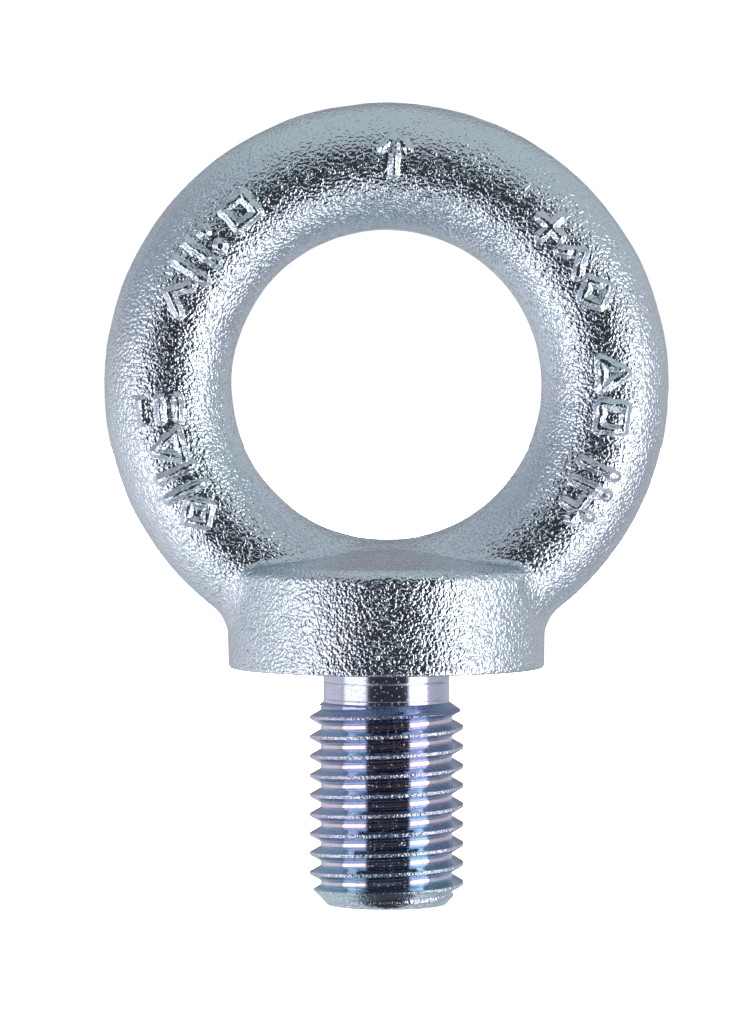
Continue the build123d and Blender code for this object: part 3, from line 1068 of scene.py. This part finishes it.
for piece, node, material, slot in fittings:
    piece.data.materials.append(material)
    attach(piece, "root")
    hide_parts(node)
print(len(fittings), "pieces fitted")

# %% [markdown]
# ## Studio
# A mirror-like thing is lit by what it sees. The bolt stands on a pale floor in a pale room, with a tall
# soft light on each side in front and darkness between them, behind the camera. A black card lies on the
# floor in front of the shank. Only reflections see it: it keeps the steep flanks of the thread dark in the
# middle, and its tongue does the same for the chamfer.

# %% Floor and black card
floor_half_size = 3.0
floor_colour = (0.9, 0.9, 0.9)
card_colour = (0.03, 0.03, 0.035)
matt_roughness = 0.9
card_lift = 0.1 * MM
card_half_width, card_near, card_far = 13.0 * MM, -10.5 * MM, -46.0 * MM
tongue_half_width, tongue_tip = 4.2 * MM, -7.8 * MM


def flat_sheet(name, outline, height, colour):
    """A flat matt sheet with one face, from the (x, y) corners of its outline."""
    sheet_mesh = bpy.data.meshes.new(name)
    sheet_mesh.from_pydata([(x, y, height) for x, y in outline], [], [tuple(range(len(outline)))])
    paint = bpy.data.materials.new(name + "_paint")
    paint.use_nodes = True
    shader = paint.node_tree.nodes["Principled BSDF"]
    shader.inputs["Base Color"].default_value = (*colour, 1.0)
    shader.inputs["Roughness"].default_value = matt_roughness
    shader.inputs["Specular IOR Level"].default_value = 0.0
    sheet_mesh.materials.append(paint)
    sheet = bpy.data.objects.new(name, sheet_mesh)
    bpy.context.scene.collection.objects.link(sheet)
    return sheet


square = np.array([[-1, -1], [1, -1], [1, 1], [-1, 1]]) * floor_half_size
floor = flat_sheet("floor", square, shank_end, floor_colour)
floor.visible_glossy = False

card_side = [(card_half_width, card_far), (card_half_width, card_near)]
tongue_side = [(tongue_half_width, card_near), (tongue_half_width, tongue_tip)]
half_outline = card_side + tongue_side
card_outline = half_outline + [(-x, y) for x, y in reversed(half_outline)]
card = flat_sheet("black_card", card_outline, shank_end + card_lift, card_colour)
card.visible_camera = False
card.visible_diffuse = False
card.visible_shadow = False
print("floor at", round(shank_end / MM, 1), "mm, card with", len(card_outline), "corners")

# %% [markdown]
# ### Room
# The room is the world's colour, painted by direction, so its lights have clean edges and no shadows. Each
# panel is a range of azimuths and elevations, in degrees: azimuth 0 looks out past the camera, and 90 to the
# right of the bolt as the camera sees it. The camera itself sees plain white behind the bolt.

# %% Room, painted by direction
world = bpy.data.worlds.new("studio")
bpy.context.scene.world = world
world.use_nodes = True
room = world.node_tree
room.nodes.clear()
direction = room.nodes.new("ShaderNodeSeparateXYZ")
room.links.new(room.nodes.new("ShaderNodeTexCoord").outputs["Generated"], direction.inputs[0])
towards_camera = math_node(room, "MULTIPLY", direction.outputs["Y"], -1.0)
azimuth = math_node(room, "DEGREES", math_node(room, "ARCTAN2", direction.outputs["X"], towards_camera))
elevation = math_node(room, "DEGREES", math_node(room, "ARCSINE", direction.outputs["Z"]))


def between(value, low, high, soft):
    """1 between low and high, 0 outside, with smooth edges of that width."""
    rise = ramp_node(room, value, low - soft, low + soft)
    fall = ramp_node(room, value, high - soft, high + soft, 1.0, 0.0)
    return math_node(room, "MULTIPLY", rise, fall)


def panel(azimuths, elevations, soft):
    """A patch of the room between two azimuths and two elevations, in degrees."""
    in_azimuth = between(azimuth, *azimuths, soft)
    return math_node(room, "MULTIPLY", in_azimuth, between(elevation, *elevations, soft))


wall_colour, ceiling_colour = (0.58, 0.61, 0.66), (0.54, 0.61, 0.63)
ground_colour, back_wall_colour = (0.42, 0.47, 0.53), (0.28, 0.275, 0.33)
backdrop_white = (1.05, 1.05, 1.05)
walls = mix_colour(room, ramp_node(room, elevation, 0.0, 40.0), wall_colour, ceiling_colour)
seen_by_metal = mix_colour(room, ramp_node(room, elevation, -10.0, -60.0), walls, ground_colour)
panels = [
    ("wall_left_low", (-145.0, -92.0), (-58.0, 0.0), 8.0, (0.80, 0.82, 0.87)),
    ("wall_left_high", (-145.0, -40.0), (14.0, 48.0), 8.0, (0.36, 0.40, 0.46)),
    ("wall_right_low", (98.0, 142.0), (-45.0, -8.0), 8.0, (0.44, 0.45, 0.49)),
    ("table_front_right", (5.0, 65.0), (-82.0, -44.0), 5.0, (1.25, 1.28, 1.34)),
    ("dark_front", (-36.0, 41.0), (-32.0, 36.0), 4.0, (0.04, 0.042, 0.05)),
    ("light_left", (-83.0, -38.0), (-46.0, 3.0), 3.0, (1.85, 1.88, 2.0)),
    ("light_right", (43.0, 79.0), (-46.0, 14.0), 3.0, (2.7, 2.78, 2.9)),
]
for name, azimuths, elevations, soft, colour in panels:
    seen_by_metal = mix_colour(room, panel(azimuths, elevations, soft), seen_by_metal, colour)
behind = math_node(room, "ABSOLUTE", azimuth)
far_behind = ramp_node(room, behind, 158.0, 172.0)
back_wall = math_node(room, "MULTIPLY", far_behind, between(elevation, -3.0, 34.0, 6.0))
seen_by_metal = mix_colour(room, back_wall, seen_by_metal, back_wall_colour)
camera_ray = room.nodes.new("ShaderNodeLightPath").outputs["Is Camera Ray"]
seen = mix_colour(room, camera_ray, seen_by_metal, backdrop_white)
background = room.nodes.new("ShaderNodeBackground")
room.links.new(seen, background.inputs["Color"])
room_output = room.nodes.new("ShaderNodeOutputWorld")
room.links.new(background.outputs[0], room_output.inputs["Surface"])
print(len(panels), "panels in the room")

# %% [markdown]
# ### Light for the floor
# The room is dim where the metal needs it dim, so a very broad sun brings the matt floor up to white.
# Reflections don't see it, so the bolt is lit by the room alone.

# %% Soft sun for the floor
sun_data = bpy.data.lights.new("floor_sun", "SUN")
sun_data.energy = 14.0
sun_data.angle = math.radians(160.0)
sun = bpy.data.objects.new("floor_sun", sun_data)
sun.visible_glossy = False
bpy.context.scene.collection.objects.link(sun)
print("sun", sun_data.energy, "over", round(math.degrees(sun_data.angle)), "degrees")
